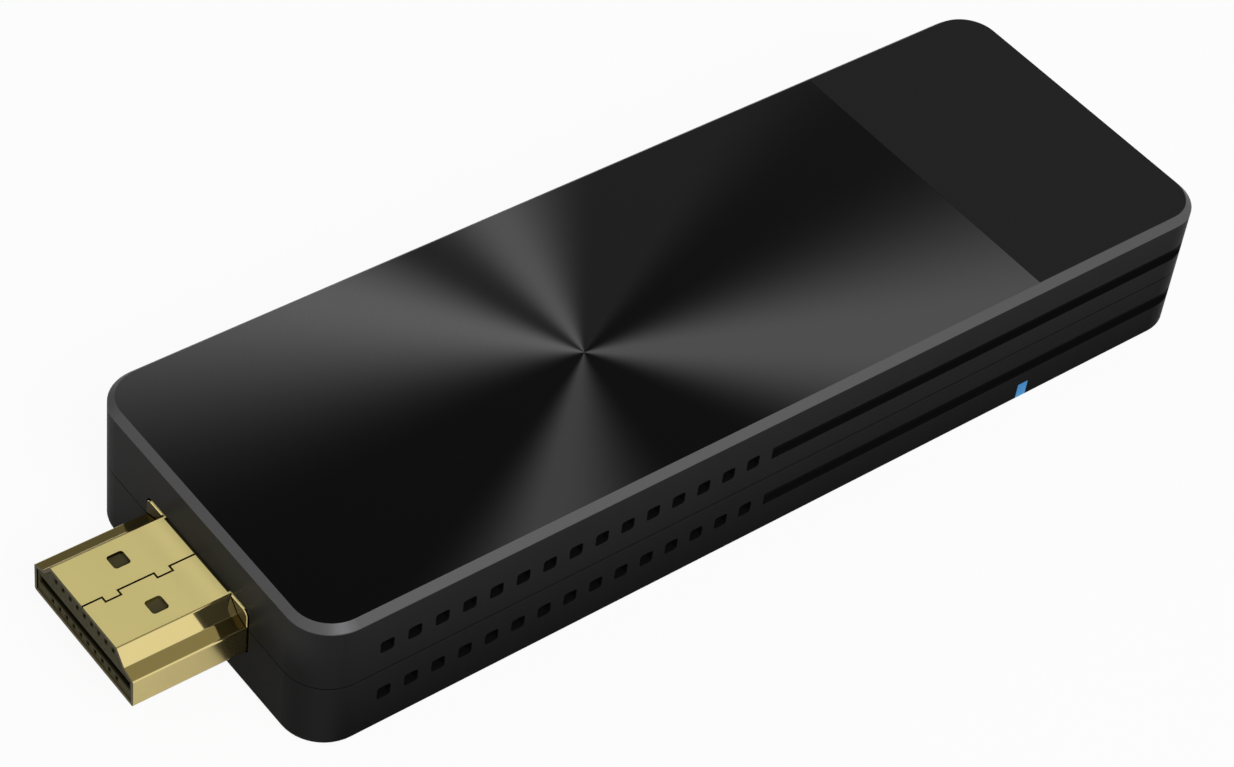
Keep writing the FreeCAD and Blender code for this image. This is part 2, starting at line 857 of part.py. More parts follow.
def board_screws():
    """Pan-head screws with a cross recess."""
    made = []
    head_top = board_top + screw_head_height
    recess_z = head_top - screw_recess_depth
    for x, y in screw_places:
        shank = post(x, y, screw_radius, board_bottom - screw_length, board_top)
        head = post(x, y, screw_head_radius, board_top, head_top)
        along = block(x, y, screw_recess_length, screw_recess_width, recess_z, head_top + overcut)
        across = block(x, y, screw_recess_width, screw_recess_length, recess_z, head_top + overcut)
        made.append(union([shank, head]).cut([along, across]))
    return Part.makeCompound(made)


def processor():
    return block(chip_x, 0, chip_size, chip_size, board_top, board_top + chip_height)


def memory_chips():
    y = (memory_width + memory_gap) / 2
    chip = block(memory_x, y, memory_length, memory_width, board_top, board_top + memory_height)
    return Part.makeCompound(both_sides(chip))


def flash_chip():
    return block(memory_x, 0, flash_length, flash_width, board_bottom - flash_height, board_bottom)


def shield_frame():
    fence = box(shield_x0, shield_x1, -shield_half, shield_half, board_top, shield_top)
    x0, x1 = shield_x0 + shield_sheet, shield_x1 - shield_sheet
    half = shield_half - shield_sheet
    return fence.cut(box(x0, x1, -half, half, board_top - overcut, shield_top + overcut))


def shield_lid():
    """Lid pressed over the fence, with a skirt outside it."""
    x0, x1, half = shield_x0 - lid_reach, shield_x1 + lid_reach, shield_half + lid_reach
    skirt_z = shield_top - lid_skirt
    lid = box(x0, x1, -half, half, skirt_z, shield_top + lid_sheet)
    x0, x1, half = shield_x0 - lid_gap, shield_x1 + lid_gap, shield_half + lid_gap
    return lid.cut(box(x0, x1, -half, half, skirt_z - overcut, shield_top))


def chip_thermal_pad():
    return block(chip_x, 0, chip_size, chip_size, board_top + chip_height, shield_top)


def lid_thermal_pad():
    return block(shield_x, 0, lid_pad_length, lid_pad_width, shield_top + lid_sheet, spreader_z)


def heat_spreader():
    plate = block(shield_x, 0, spreader_length, spreader_width, spreader_z, ceiling_z)
    radius = stake_radius + fit_gap
    return plate.cut([post(x, y, radius, spreader_z - overcut, ceiling_z) for x, y in stake_places])


def wireless_board():
    return block(module_x, 0, module_size, module_size, board_top, board_top + module_thickness)


def wireless_can():
    z0 = board_top + module_thickness
    z1 = z0 + module_can_height
    outer = module_size - 2 * module_can_inset
    inner = outer - 2 * module_can_sheet
    room = block(module_x, 0, inner, inner, z0 - overcut, z1 - module_can_sheet)
    return block(module_x, 0, outer, outer, z0, z1).cut(room)


def wireless_chip():
    z0 = board_top + module_thickness
    return block(module_x, 0, module_chip_size, module_chip_size, z0, z0 + module_chip_height)


def coax_sockets():
    base_top = board_top + socket_base_height
    y = socket_spacing / 2
    base = block(socket_x, y, socket_base, socket_base, board_top, base_top)
    ring = post(socket_x, y, socket_ring_radius, base_top, base_top + socket_ring_height)
    return Part.makeCompound(both_sides(union([base, ring])))


def coax_plugs():
    """Press-on caps over the sockets' rings."""
    y = socket_spacing / 2
    z0 = board_top + coax_plug_lift
    ring_top = board_top + socket_base_height + socket_ring_height
    cap = post(socket_x, y, coax_plug_radius, z0, z0 + coax_plug_height)
    room = post(socket_x, y, socket_ring_radius + fit_gap, z0 - overcut, ring_top + fit_gap)
    return Part.makeCompound(both_sides(cap.cut(room)))


def coax_lead(side):
    """Coax from its plug sideways, back along the board and out to its antenna."""
    y0 = socket_spacing / 2 + coax_plug_radius
    y1 = antenna_face
    y_mid = (y0 + y1) / 2
    x0 = socket_x
    x1 = socket_x - coax_jog
    radius = coax_bend_share * min(y_mid - y0, coax_jog)
    bulge = radius * (1 - math.sqrt(0.5))

    def at(x, y):
        return vector(x, side * y, coax_z)

    first = [at(x0, y_mid - radius), at(x0 - bulge, y_mid - bulge), at(x0 - radius, y_mid)]
    second = [at(x1 + radius, y_mid), at(x1 + bulge, y_mid + bulge), at(x1, y_mid + radius)]
    path = [
        Part.LineSegment(at(x0, y0), first[0]),
        Part.Arc(*first),
        Part.LineSegment(first[2], second[0]),
        Part.Arc(*second),
        Part.LineSegment(second[2], at(x1, y1)),
    ]
    wire = Part.Wire([piece.toShape() for piece in path])
    section = Part.Wire(Part.makeCircle(coax_radius, at(x0, y0), vector(0, 1, 0)))
    return wire.makePipeShell([section], True, False)


def antenna(side):
    x0, x1 = antenna_x - antenna_length / 2, antenna_x + antenna_length / 2
    y0, y1 = sorted((side * antenna_face, side * inner_half))
    return box(x0, x1, y0, y1, lip_top + antenna_lip_gap, ceiling_z - antenna_top_gap)


def status_led():
    return block(light_x, led_y, led_length, led_width, led_z, board_bottom)


def reset_button():
    """Button cap: a stem through the far wall and a flange behind it."""
    stem = bar(button_profile(0), flange_x1, far_x - button_recess)
    flange = bar(button_profile(-button_flange_overhang), flange_x0, flange_x1)
    return union([stem, flange])


def switch_plunger():
    x0 = switch_x1 - plunger_insertion
    y0, y1 = button_y - plunger_width / 2, button_y + plunger_width / 2
    return box(x0, flange_x0, y0, y1, button_z - plunger_height / 2, button_z + plunger_height / 2)


def switch_body():
    """Switch housing on the board, with a pocket that the plunger slides in."""
    x = switch_x1 - switch_length / 2
    body = block(x, button_y, switch_length, switch_width, board_top, board_top + switch_height)
    pocket_x0 = switch_x1 - plunger_insertion - button_travel - plunger_gap
    half_w = plunger_width / 2 + plunger_gap
    half_h = plunger_height / 2 + plunger_gap
    y0, y1 = button_y - half_w, button_y + half_w
    return body.cut(box(pocket_x0, switch_x1 + overcut, y0, y1, button_z - half_h, button_z + half_h))


def power_inductors():
    z1 = board_top + inductor_height
    return Part.makeCompound(
        [
            block(inductor_x, y, inductor_size, inductor_size, board_top, z1)
            for y in spread(inductor_count, inductor_pitch)
        ]
    )


def regulator_chips():
    z0 = board_bottom - regulator_height
    y = regulator_pitch / 2
    chip = block(inductor_x, y, regulator_size, regulator_size, z0, board_bottom)
    return Part.makeCompound(both_sides(chip))


def crystal():
    return block(crystal_x, 0, crystal_length, crystal_width, board_top, board_top + crystal_height)


def ceramic_capacitors():
    """Rows midway between the shield and both long sides of the board."""
    y = (shield_half + lid_reach + board_half) / 2
    z1 = board_top + capacitor_height
    made = []
    for x in spread(capacitor_count, capacitor_pitch):
        part = block(shield_x + x, y, small_part_length, small_part_width, board_top, z1)
        made += both_sides(part)
    return Part.makeCompound(made)


def chip_resistors():
    """Row behind the plug contacts."""
    x = board_x0 + contact_tail_length + resistor_gap + small_part_length / 2
    z1 = board_top + resistor_height
    return Part.makeCompound(
        [
            block(x, y, small_part_length, small_part_width, board_top, z1)
            for y in spread(resistor_count, resistor_pitch)
        ]
    )


parts = {
    "upper_shell": upper_shell(),
    "lower_shell": lower_shell(),
    "top_plate": top_plate(),
    "label_film": label_film(),
    "light_pipe": light_pipe(),
    "plug_shell": plug_shell(),
    "plug_insulator": plug_insulator(),
    "plug_contacts_narrow": plug_contacts("narrow"),
    "plug_contacts_wide": plug_contacts("wide"),
    "inlet_shell": inlet_shell(),
    "inlet_insulator": inlet_insulator(),
    "inlet_contacts": Part.makeCompound(inlet_contact_solids()),
    "main_board": main_board(),
    "board_screws": board_screws(),
    "processor": processor(),
    "memory_chips": memory_chips(),
    "flash_chip": flash_chip(),
    "shield_frame": shield_frame(),
    "shield_lid": shield_lid(),
    "chip_thermal_pad": chip_thermal_pad(),
    "lid_thermal_pad": lid_thermal_pad(),
    "heat_spreader": heat_spreader(),
    "wireless_board": wireless_board(),
    "wireless_can": wireless_can(),
    "wireless_chip": wireless_chip(),
    "coax_sockets": coax_sockets(),
    "coax_plugs": coax_plugs(),
    "coax_lead_near": coax_lead(-1),
    "coax_lead_far": coax_lead(1),
    "antenna_near": antenna(-1),
    "antenna_far": antenna(1),
    "status_led": status_led(),
    "reset_button": reset_button(),
    "switch_plunger": switch_plunger(),
    "switch_body": switch_body(),
    "power_inductors": power_inductors(),
    "regulator_chips": regulator_chips(),
    "crystal": crystal(),
    "ceramic_capacitors": ceramic_capacitors(),
    "chip_resistors": chip_resistors(),
}

os.makedirs("parts", exist_ok=True)
for name, shape in parts.items():
    shape.exportStep(f"parts/{name}.step")
    print(f"{name:22s} solids {len(shape.Solids):3d} valid {shape.isValid()} volume {shape.Volume:9.2f}")
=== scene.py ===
import math
import bpy
from mathutils import Euler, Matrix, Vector


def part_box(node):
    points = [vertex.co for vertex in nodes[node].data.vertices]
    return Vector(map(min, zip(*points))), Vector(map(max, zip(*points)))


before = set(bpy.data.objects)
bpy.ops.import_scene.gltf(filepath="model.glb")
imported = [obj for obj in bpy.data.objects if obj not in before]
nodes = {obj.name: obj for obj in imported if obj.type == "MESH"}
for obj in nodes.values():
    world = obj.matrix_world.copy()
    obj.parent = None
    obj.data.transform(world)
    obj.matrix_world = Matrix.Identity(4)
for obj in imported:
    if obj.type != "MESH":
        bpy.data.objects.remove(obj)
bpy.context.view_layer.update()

MM = 0.001

# Places that the materials use, in metres

CASE_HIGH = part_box("upper_shell")[1]
PLUG_LOW, PLUG_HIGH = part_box("plug_shell")
FRONT_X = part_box("upper_shell")[0].x
SPIN_X = -0.00587
SPIN_Y = -0.0017

# Casing: places between which one tone turns into another

# Painted reflection on the plug end: where it turns lighter upwards and across
FRONT_PAINTED_REFLECTION_UP = (7.0 * MM, 11.5 * MM)
FRONT_PAINTED_REFLECTION_ACROSS = (-9.0 * MM, 3.0 * MM)
FRONT_TO_FAR_HALF = (-1.0 * MM, 1.0 * MM)
UNDERSIDE_END = (0.05 * MM, 0.30 * MM)
GROOVE_DEPTH = (0.12 * MM, 0.20 * MM)
VENT_DEPTH = (0.01 * MM, 0.04 * MM)
VENTS_END = (-FRONT_X - 0.5 * MM, -FRONT_X - 1.5 * MM)

# Plate: the spun finish, with painted highlight wedges

PLATE_BASE = 0.060
RINGS_PER_METRE = 3000.0
TONE_POWER = 2.2
PAINTED_HIGHLIGHT_WEDGES = (
    # start, full from, full to, end: degrees round the spun centre, anticlockwise from +X; strength
    (49.0, 77.5, 78.5, 110.0, 0.254),
    (92.5, 130.5, 132.0, 185.0, 0.287),
    (204.5, 223.5, 225.0, 266.0, 0.184),
    (290.5, 330.0, 337.0, 371.0, 0.241),
    (15.0, 32.0, 49.0, 77.0, 0.066),
)

# Plug: places between which one tone turns into another

PLUG_PAINTED_LIGHT_TO_WALL = (FRONT_X - 7.0 * MM, FRONT_X)
PLUG_AT_WALL = (FRONT_X - 2.8 * MM, FRONT_X - 0.6 * MM)
PLUG_INSIDE = (-0.3 * MM, 0.0)
CREVICE_SHADE_REACH = 0.25 * MM
INSULATOR_TOP = (PLUG_HIGH.z - 0.50 * MM, PLUG_HIGH.z - 0.40 * MM)
INSULATOR_FACE = (PLUG_LOW.x + 0.12 * MM, PLUG_LOW.x + 0.30 * MM)

# Light window

LIGHT_HEIGHT = 0.0018

# Floor, in metres and shares of white

FLOOR_HALF = 3.0
FLOOR_DROP = 0.02 * MM
FLOOR_WHITE_SEEN = 0.93
FLOOR_WHITE_IN_GLOSS = 0.05

# World: directions between which the strength changes, and the strengths

CEILING = (0.58, 0.92)
FAR_SIDE = (0.62, 0.86)
WINDOW_LEVEL = 1.0
FAR_LEVEL = 0.12
CEILING_LEVEL = 0.30
SOFT_ACROSS = (-0.6, 0.6)
SOFT_LEVELS = (0.70, 0.45)

# Lamp: metres and watts; it points at the origin

LAMP_PLACE = (-0.10, -0.80, 0.75)
LAMP_SIZE = 0.6
LAMP_POWER = 8.0

# Camera: millimetres for lens and sensor, metres, degrees

LENS = 101.866
SENSOR = 36.0
CLIP = (0.01, 20.0)
CAMERA_PLACE = (-0.139802, -0.147767, 0.204170)
CAMERA_TURN = (45.3165, -5.8727, -37.5801)


# Node helpers

def rgba(value):
    if isinstance(value, (tuple, list)) and len(value) == 3:
        return (*value, 1.0)
    return value


def grey(level):
    return (level, level, level)


class Nodes:
    """A node tree with short names for the nodes used here."""

    def __init__(self, tree):
        self.tree = tree
        tree.nodes.clear()

    def node(self, kind, **settings):
        made = self.tree.nodes.new(kind)
        for key, value in settings.items():
            setattr(made, key, value)
        return made

    def put(self, socket, value):
        """Links a socket or sets a plain value."""
        if isinstance(value, bpy.types.NodeSocket):
            self.tree.links.new(value, socket)
        else:
            socket.default_value = value

    def math(self, operation, a, b=0.0, clamp=False):
        made = self.node("ShaderNodeMath", operation=operation, use_clamp=clamp)
        self.put(made.inputs[0], a)
        self.put(made.inputs[1], b)
        return made.outputs[0]

    def times(self, a, b):
        return self.math("MULTIPLY", a, b)

    def plus(self, a, b, clamp=False):
        return self.math("ADD", a, b, clamp)

    def minus(self, a, b, clamp=False):
        return self.math("SUBTRACT", a, b, clamp)

    def most(self, a, b):
        return self.math("MAXIMUM", a, b)

    def unsigned(self, a):
        return self.math("ABSOLUTE", a)

    def split(self, vector):
        """The three parts of a vector."""
        made = self.node("ShaderNodeSeparateXYZ")
        self.put(made.inputs[0], vector)
        return made.outputs

    def ramp(self, value, low, high, out_low=0.0, out_high=1.0, kind="SMOOTHSTEP"):
        made = self.node("ShaderNodeMapRange", interpolation_type=kind)
        limits = {"Value": value, "From Min": low, "From Max": high,
                  "To Min": out_low, "To Max": out_high}
        for key, limit in limits.items():
            self.put(made.inputs[key], limit)
        return made.outputs["Result"]

    def between(self, factor, a, b):
        """A plain blend from number a to number b."""
        return self.ramp(factor, 0.0, 1.0, a, b, "LINEAR")

    def choose(self, factor, a, b):
        made = self.node("ShaderNodeMix", data_type="FLOAT")
        self.put(made.inputs[0], factor)
        self.put(made.inputs[2], a)
        self.put(made.inputs[3], b)
        return made.outputs[0]

    def mix(self, factor, a, b):
        """A blend from colour a to colour b."""
        made = self.node("ShaderNodeMix", data_type="RGBA")
        self.put(made.inputs[0], factor)
        self.put(made.inputs[6], rgba(a))
        self.put(made.inputs[7], rgba(b))
        return made.outputs[2]


class Shader(Nodes):
    """A material with its node tree."""

    def __init__(self, name):
        self.material = bpy.data.materials.new(name)
        self.material.use_nodes = True
        super().__init__(self.material.node_tree)
        self.output = self.node("ShaderNodeOutputMaterial")
        self.where = self.node("ShaderNodeTexCoord").outputs["Object"]

    def axes(self):
        return self.split(self.where)

    def facing(self):
        """The three parts of the surface normal."""
        return self.split(self.node("ShaderNodeNewGeometry").outputs["Normal"])

    def noise(self, scale, detail=3.0, roughness=0.5, vector=None):
        made = self.node("ShaderNodeTexNoise")
        self.put(made.inputs["Vector"], vector or self.where)
        self.put(made.inputs["Scale"], scale)
        self.put(made.inputs["Detail"], detail)
        self.put(made.inputs["Roughness"], roughness)
        return made.outputs["Fac"]

    def spread(self, noise, low, high):
        """Stretches the middle of a noise from low to high."""
        return self.ramp(noise, 0.3, 0.7, low, high)

    def stretch(self, x, y, z):
        """Object coordinates scaled by axis, for grain that runs one way."""
        made = self.node("ShaderNodeVectorMath", operation="MULTIPLY")
        self.put(made.inputs[0], self.where)
        self.put(made.inputs[1], (x, y, z))
        return made.outputs[0]

    def bump(self, height, distance, strength):
        made = self.node("ShaderNodeBump")
        self.put(made.inputs["Height"], height)
        self.put(made.inputs["Distance"], distance)
        self.put(made.inputs["Strength"], strength)
        return made.outputs["Normal"]

    def surface(self, shader_socket):
        self.put(self.output.inputs["Surface"], shader_socket)

    def principled(self, **sockets):
        made = self.node("ShaderNodeBsdfPrincipled")
        for key, value in sockets.items():
            name = key.replace("_", " ")
            self.put(made.inputs[name], rgba(value) if "Color" in name else value)
        self.surface(made.outputs[0])


def dress(shader, *names):
    """Gives CAD nodes this material on all their faces."""
    for name in names:
        slots = nodes[name].material_slots
        for slot in slots:
            slot.link = "DATA"
            slot.material = shader.material
        if not slots:
            nodes[name].data.materials.append(shader.material)


# Casing and plate

def casing_plastic():
    """Satin black moulded plastic with a fine even texture.

    The long sides have painted shade at their foot, and the plug end has a painted reflection that
    is lighter at its top and far side.
    """
    s = Shader("casing_plastic")
    grain = s.noise(5200.0, 2.0)
    cloud = s.noise(90.0, 3.0)
    x, y, z = s.axes()
    nx, ny, nz = s.facing()
    across, along = s.times(nx, nx), s.times(ny, ny)

    # Long sides, rounded corners, end walls; painted shade darkens the long sides towards their
    # foot
    foot = s.mix(cloud, grey(0.0026), grey(0.0038))
    side = s.mix(cloud, grey(0.0130), grey(0.0146))
    wall = s.mix(s.ramp(z, 0.0, CASE_HIGH.z, 1.0, 0.0, "LINEAR"), side, foot)
    wall = s.mix(s.times(s.times(across, along), 4.0), wall, grey(0.0126))
    # Painted reflection: the plug end is lighter towards its top and far side, and the far end has
    # the light tone all over
    painted_reflection = s.most(s.ramp(z, *FRONT_PAINTED_REFLECTION_UP), s.ramp(y, *FRONT_PAINTED_REFLECTION_ACROSS))
    painted_reflection = s.most(painted_reflection, s.ramp(x, *FRONT_TO_FAR_HALF))
    end = s.mix(painted_reflection, grey(0.0120), (0.0285, 0.0285, 0.0287))
    wall = s.mix(s.math("POWER", s.unsigned(nx), 3.5), wall, end)

    # The flat underside has the tone of the sides
    under = s.times(s.ramp(nz, -0.98, -0.90, 1.0, 0.0), s.ramp(z, *UNDERSIDE_END, 1.0, 0.0))
    wall = s.mix(under, wall, side)

    # Painted shade: grooves, level faces and vent walls are darker
    depth = s.minus(CASE_HIGH.y, s.unsigned(y))
    sunk = s.times(s.ramp(depth, *GROOVE_DEPTH), s.ramp(along, 0.90, 0.96))
    level = s.minus(s.ramp(s.unsigned(nz), 0.90, 0.98), under, clamp=True)
    in_hole = s.times(s.ramp(depth, *VENT_DEPTH), s.ramp(along, 0.30, 0.05))
    in_hole = s.times(in_hole, s.ramp(s.unsigned(x), *VENTS_END))
    painted_shade_in_hollows = s.most(s.most(sunk, level), in_hole)

    s.principled(
        Base_Color=s.mix(painted_shade_in_hollows, wall, grey(0.0048)),
        Roughness=s.spread(grain, 0.30, 0.40),
        Specular_IOR_Level=0.012,
        Normal=s.bump(grain, 0.000003, 0.5),
    )
    return s


def spun_plate():
    """Glossy black plate with a spun finish; painted highlights lie in light wedges that meet at
    one point.
    """
    s = Shader("spun_plate")
    x, y, _ = s.axes()
    dx = s.minus(x, SPIN_X)
    dy = s.minus(y, SPIN_Y)
    angle = s.math("FLOORED_MODULO", s.math("DEGREES", s.math("ARCTAN2", dy, dx)), 360.0)

    # Painted highlights: wedges round the spun centre, added to the base tone
    light = PLATE_BASE
    for start, full_from, full_to, end, strength in PAINTED_HIGHLIGHT_WEDGES:
        # A wedge that runs past 360 degrees is added once more, one turn back
        for lap in ((0.0, 360.0) if end > 360.0 else (0.0,)):
            rise = s.ramp(angle, start - lap, full_from - lap)
            fall = s.ramp(angle, full_to - lap, end - lap, 1.0, 0.0)
            light = s.plus(light, s.times(s.times(rise, fall), strength))

    radius = s.math("SQRT", s.plus(s.times(dx, dx), s.times(dy, dy)))
    rings = s.node("ShaderNodeTexNoise", noise_dimensions="1D")
    s.put(rings.inputs["W"], s.times(radius, RINGS_PER_METRE))
    s.put(rings.inputs["Detail"], 2.0)
    turned = s.times(light, s.ramp(rings.outputs["Fac"], 0.25, 0.75, 0.98, 1.02))
    shade = s.math("POWER", turned, TONE_POWER)
    face = s.node("ShaderNodeCombineColor")
    for channel in range(3):
        s.put(face.inputs[channel], shade)

    on_top = s.ramp(s.facing()[2], 0.90, 0.99)
    rim = s.mix(s.ramp(x, 0.0, CASE_HIGH.x), (0.083, 0.083, 0.085), (0.077, 0.077, 0.079))
    s.principled(
        Base_Color=s.mix(on_top, rim, face.outputs[0]),
        Metallic=s.between(on_top, 0.18, 0.0),
        Roughness=s.between(on_top, 0.36, 0.26),
        Specular_IOR_Level=0.03,
        Normal=s.bump(rings.outputs["Fac"], 0.000002, 0.3),
    )
    return s


def label_matte():
    """Matte black film."""
    s = Shader("label_matte")
    grain = s.noise(4000.0, 2.0)
    s.principled(
        Base_Color=s.mix(grain, (0.0125, 0.0125, 0.0127), (0.0150, 0.0150, 0.0152)),
        Roughness=s.spread(grain, 0.55, 0.65),
        Specular_IOR_Level=0.03,
        Normal=s.bump(grain, 0.000003, 0.5),
    )
    return s


def blue_light():
    """Clear light guide that glows blue."""
    s = Shader("blue_light")
    grain = s.noise(900.0, 2.0)
    height = s.ramp(s.axes()[2], 0.0, LIGHT_HEIGHT)
    s.principled(
        Base_Color=(0.02, 0.05, 0.10),
        Roughness=s.spread(grain, 0.25, 0.35),
        Specular_IOR_Level=0.1,
        Emission_Color=s.mix(height, (0.042, 0.240, 0.50), (0.022, 0.180, 0.43)),
        Emission_Strength=0.85,
    )
    return s


# Plug and contacts

def gold_plate():
    """Gold plating on folded sheet: satin on the narrow face, polished on bevels and sides, with
    painted light on the narrow face near the wall and painted shade inside, in seams and on the
    collar face.
    """
    s = Shader("gold_plate")
    x, y, z = s.axes()
    nx, ny, nz = s.facing()
    rolled = s.noise(1400.0, 3.0, 0.5, s.stretch(0.06, 1.0, 1.0))
    cloud = s.noise(220.0, 3.0)
    satin = s.ramp(nz, 0.97, 0.999)
    cut_edges_and_shaded_collar = s.ramp(nx, -0.98, -0.9, 1.0, 0.0)

    polished_gold = s.mix(cloud, (0.72, 0.59, 0.25), (0.76, 0.63, 0.28))
    polished_gold = s.mix(s.ramp(nz, 0.85, 0.93), polished_gold, (0.74, 0.58, 0.19))
    satin_gold = s.mix(cloud, (0.61, 0.525, 0.205), (0.65, 0.555, 0.22))
    # Painted light: the narrow face turns lighter towards the wall
    satin_gold = s.mix(s.ramp(x, *PLUG_PAINTED_LIGHT_TO_WALL), satin_gold, (0.80, 0.68, 0.28))
    colour = s.mix(satin, polished_gold, satin_gold)

    # Faces towards the tip: dull cut edges of the sheet, and painted shade on the collar face,
    # darker towards the wall
    from_tip = s.ramp(x, PLUG_LOW.x, FRONT_X)
    colour = s.mix(cut_edges_and_shaded_collar, colour, s.mix(from_tip, (0.10, 0.085, 0.045), (0.050, 0.039, 0.016)))

    # Painted shade on faces that look towards the middle of the plug
    up = s.minus(z, 0.5 * (PLUG_LOW.z + PLUG_HIGH.z))
    outward = s.plus(s.times(ny, y), s.times(nz, up))
    colour = s.mix(s.ramp(outward, *PLUG_INSIDE, 1.0, 0.0), colour, (0.10, 0.08, 0.03))

    # Painted shade in seams and tight corners
    crevice_shade = s.node("ShaderNodeAmbientOcclusion", only_local=True, samples=6)
    s.put(crevice_shade.inputs["Distance"], CREVICE_SHADE_REACH)
    colour = s.mix(s.ramp(crevice_shade.outputs["AO"], 0.15, 0.75), (0.04, 0.03, 0.01), colour)

    rough = s.spread(cloud, 0.045, 0.065)
    rough = s.plus(rough, s.times(satin, 0.38))
    rough = s.plus(rough, s.ramp(s.unsigned(ny), 0.94, 0.99, 0.0, 0.12))
    rough = s.plus(rough, s.times(cut_edges_and_shaded_collar, 0.45))
    metallic = s.between(satin, 1.0, s.between(s.ramp(x, *PLUG_AT_WALL), 0.35, 0.08))
    s.principled(
        Base_Color=colour,
        Metallic=s.times(metallic, s.between(cut_edges_and_shaded_collar, 1.0, 0.0)),
        Roughness=rough,
        Specular_IOR_Level=0.12,
        Normal=s.bump(rolled, 0.0000006, 0.3),
    )
    return s


def gold_contacts():
    """Gold plating with faint clouds."""
    s = Shader("gold_contacts")
    cloud = s.noise(900.0, 2.0)
    s.principled(
        Base_Color=s.mix(cloud, (0.62, 0.46, 0.16), (0.72, 0.56, 0.22)),
        Metallic=1.0,
        Roughness=s.spread(cloud, 0.22, 0.34),
        Normal=s.bump(cloud, 0.000002, 0.4),
    )
    return s


def insulator_plastic():
    """Olive black moulding inside the plug, with painted shade inside its slot and channels."""
    s = Shader("insulator_plastic")
    grain = s.noise(3000.0, 3.0)
    x, _, z = s.axes()
    # Painted shade inside the slot and channels
    shade_inside = s.times(s.ramp(x, *INSULATOR_FACE), s.ramp(z, *INSULATOR_TOP, 1.0, 0.0))
    face = s.mix(grain, (0.047, 0.041, 0.017), (0.057, 0.050, 0.022))
    s.principled(
        Base_Color=s.mix(shade_inside, face, (0.010, 0.009, 0.004)),
        Roughness=s.spread(grain, 0.45, 0.60),
        Specular_IOR_Level=0.06,
        Normal=s.bump(grain, 0.000004, 0.6),
    )
    return s


# Inlet, button and the pieces inside the casing

def board_mask():
    """Green solder mask with faint copper tracks under it."""
    s = Shader("board_mask")
    tracks = s.node("ShaderNodeTexBrick")
    s.put(tracks.inputs["Vector"], s.where)
    s.put(tracks.inputs["Scale"], 260.0)
    s.put(tracks.inputs["Color1"], rgba((0.016, 0.085, 0.045)))
    s.put(tracks.inputs["Color2"], rgba((0.012, 0.070, 0.038)))
    s.put(tracks.inputs["Mortar"], rgba((0.030, 0.140, 0.070)))
    s.put(tracks.inputs["Mortar Size"], 0.03)
    weave = s.noise(2400.0, 2.0)
    s.principled(
        Base_Color=tracks.outputs["Color"],
        Roughness=s.spread(weave, 0.26, 0.38),
        Specular_IOR_Level=0.5,
        Normal=s.bump(weave, 0.000003, 0.5),
    )
    return s


def capacitor_body():
    """Tan ceramic with a fine grain."""
    s = Shader("capacitor_body")
    grain = s.noise(5000.0, 2.0)
    s.principled(
        Base_Color=s.mix(grain, (0.30, 0.20, 0.11), (0.38, 0.27, 0.16)),
        Roughness=s.spread(grain, 0.45, 0.60),
        Normal=s.bump(grain, 0.000003, 0.5),
    )
    return s


def sheet_metal(name, low, high, rough, scale, grain_axes):
    """Rolled or plated metal, with grain along the axis that is scaled down."""
    s = Shader(name)
    rolled = s.noise(scale, 4.0, 0.6, s.stretch(*grain_axes))
    stain = s.noise(160.0, 4.0)
    s.principled(
        Base_Color=s.mix(stain, low, high),
        Metallic=1.0,
        Roughness=s.spread(rolled, rough - 0.06, rough + 0.06),
        Normal=s.bump(rolled, 0.000003, 0.4),
    )
    return s


def moulded(name, low, high, rough, scale, specular):
    """Plastic, resin, rubber or ceramic with a fine grain."""
    s = Shader(name)
    grain = s.noise(scale, 3.0)
    cloud = s.noise(scale / 20.0, 3.0)
    s.principled(
        Base_Color=s.mix(cloud, low, high),
        Roughness=s.spread(grain, rough - 0.08, rough + 0.08),
        Specular_IOR_Level=specular,
        Normal=s.bump(grain, 0.000005, 0.6),
    )
    return s


ALONG_X = (0.08, 1.0, 1.0)
EVEN = (1.0, 1.0, 1.0)
METALS = (
    # name, low and high colour, roughness, noise scale, grain axes; CAD nodes
    (("inlet_tin", (0.58, 0.58, 0.56), (0.66, 0.66, 0.64), 0.26, 1600.0, ALONG_X),
     ("inlet_shell",)),
    (("shield_tin", (0.56, 0.56, 0.54), (0.64, 0.64, 0.62), 0.34, 900.0, ALONG_X),
     ("shield_frame", "shield_lid")),
    (("can_tin", (0.60, 0.60, 0.58), (0.68, 0.68, 0.66), 0.30, 1200.0, ALONG_X),
     ("wireless_can", "switch_body", "crystal")),
    (("rolled_aluminium", (0.66, 0.67, 0.68), (0.74, 0.75, 0.76), 0.36, 800.0, ALONG_X),
     ("heat_spreader",)),
    (("screw_zinc", (0.40, 0.40, 0.41), (0.50, 0.50, 0.51), 0.30, 2400.0, EVEN),
     ("board_screws",)),
)
